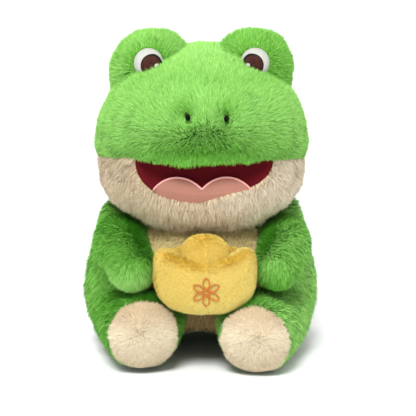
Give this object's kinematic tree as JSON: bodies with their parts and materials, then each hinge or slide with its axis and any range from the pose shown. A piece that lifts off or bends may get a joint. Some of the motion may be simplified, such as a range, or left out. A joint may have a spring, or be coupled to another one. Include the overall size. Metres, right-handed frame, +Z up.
{
  "type": "plush frog",
  "caption": "Seated plush frog with a wide open mouth, raised eye mounds and cream soles, holding a stuffed gold ingot against its belly; its arms and legs turn at sewn joints.",
  "frame": {"origin": "on the floor, under the middle of the frog's bounding box", "axes": "+Z up, -Y the way the frog faces, +X the frog's own left"},
  "size_m": [0.181, 0.1779, 0.249],
  "materials": {
    "green_pile": "long pile",
    "cream_pile": "long pile",
    "maroon_velour": "short pile",
    "pink_felt": "felt",
    "pink_thread": "satin stitch",
    "white_thread": "satin stitch",
    "brown_thread": "satin stitch",
    "black_bead": "gloss",
    "golden_velour": "short pile",
    "orange_thread": "satin stitch",
    "fibre": "loose fibre filling"
  },
  "bodies": {
    "trunk": {"face_upper_panel": "green_pile", "head_back_panel": "green_pile", "jaw_panel": "cream_pile", "head_stuffing": "fibre", "mouth_lining": "maroon_velour", "tongue": "pink_felt", "tongue_edge": "pink_thread", "left_eye_mound": "green_pile", "right_eye_mound": "green_pile", "left_mound_stuffing": "fibre", "right_mound_stuffing": "fibre", "left_eye_white": "white_thread", "right_eye_white": "white_thread", "left_iris": "brown_thread", "right_iris": "brown_thread", "left_eye_glint": "white_thread", "right_eye_glint": "white_thread", "left_nostril": "black_bead", "right_nostril": "black_bead", "belly_panel": "cream_pile", "torso_back_panel": "green_pile", "torso_stuffing": "fibre", "ingot_boat": "golden_velour", "ingot_dome": "golden_velour", "ingot_stuffing": "fibre", "ingot_emblem": "orange_thread"},
    "left_upper_limb": {"left_arm": "green_pile", "left_arm_stuffing": "fibre"},
    "right_upper_limb": {"right_arm": "green_pile", "right_arm_stuffing": "fibre"},
    "left_lower_limb": {"left_leg": "green_pile", "left_sole": "cream_pile", "left_leg_stuffing": "fibre"},
    "right_lower_limb": {"right_leg": "green_pile", "right_sole": "cream_pile", "right_leg_stuffing": "fibre"}
  },
  "joints": [
    {"name": "left_shoulder", "type": "hinge", "parent": "trunk", "child": "left_upper_limb", "pos_m": [0.06, 0.008, 0.089], "axis": [0, 0, 1], "range_deg": [0, 35]},
    {"name": "right_shoulder", "type": "hinge", "parent": "trunk", "child": "right_upper_limb", "pos_m": [-0.06, 0.008, 0.089], "axis": [0, 0, -1], "range_deg": [0, 35]},
    {"name": "left_hip", "type": "hinge", "parent": "trunk", "child": "left_lower_limb", "pos_m": [0.0535, -0.006, 0.0305], "axis": [0, 0, 1], "range_deg": [0, 16]},
    {"name": "right_hip", "type": "hinge", "parent": "trunk", "child": "right_lower_limb", "pos_m": [-0.0535, -0.006, 0.0305], "axis": [0, 0, -1], "range_deg": [0, 16]}
  ]
}
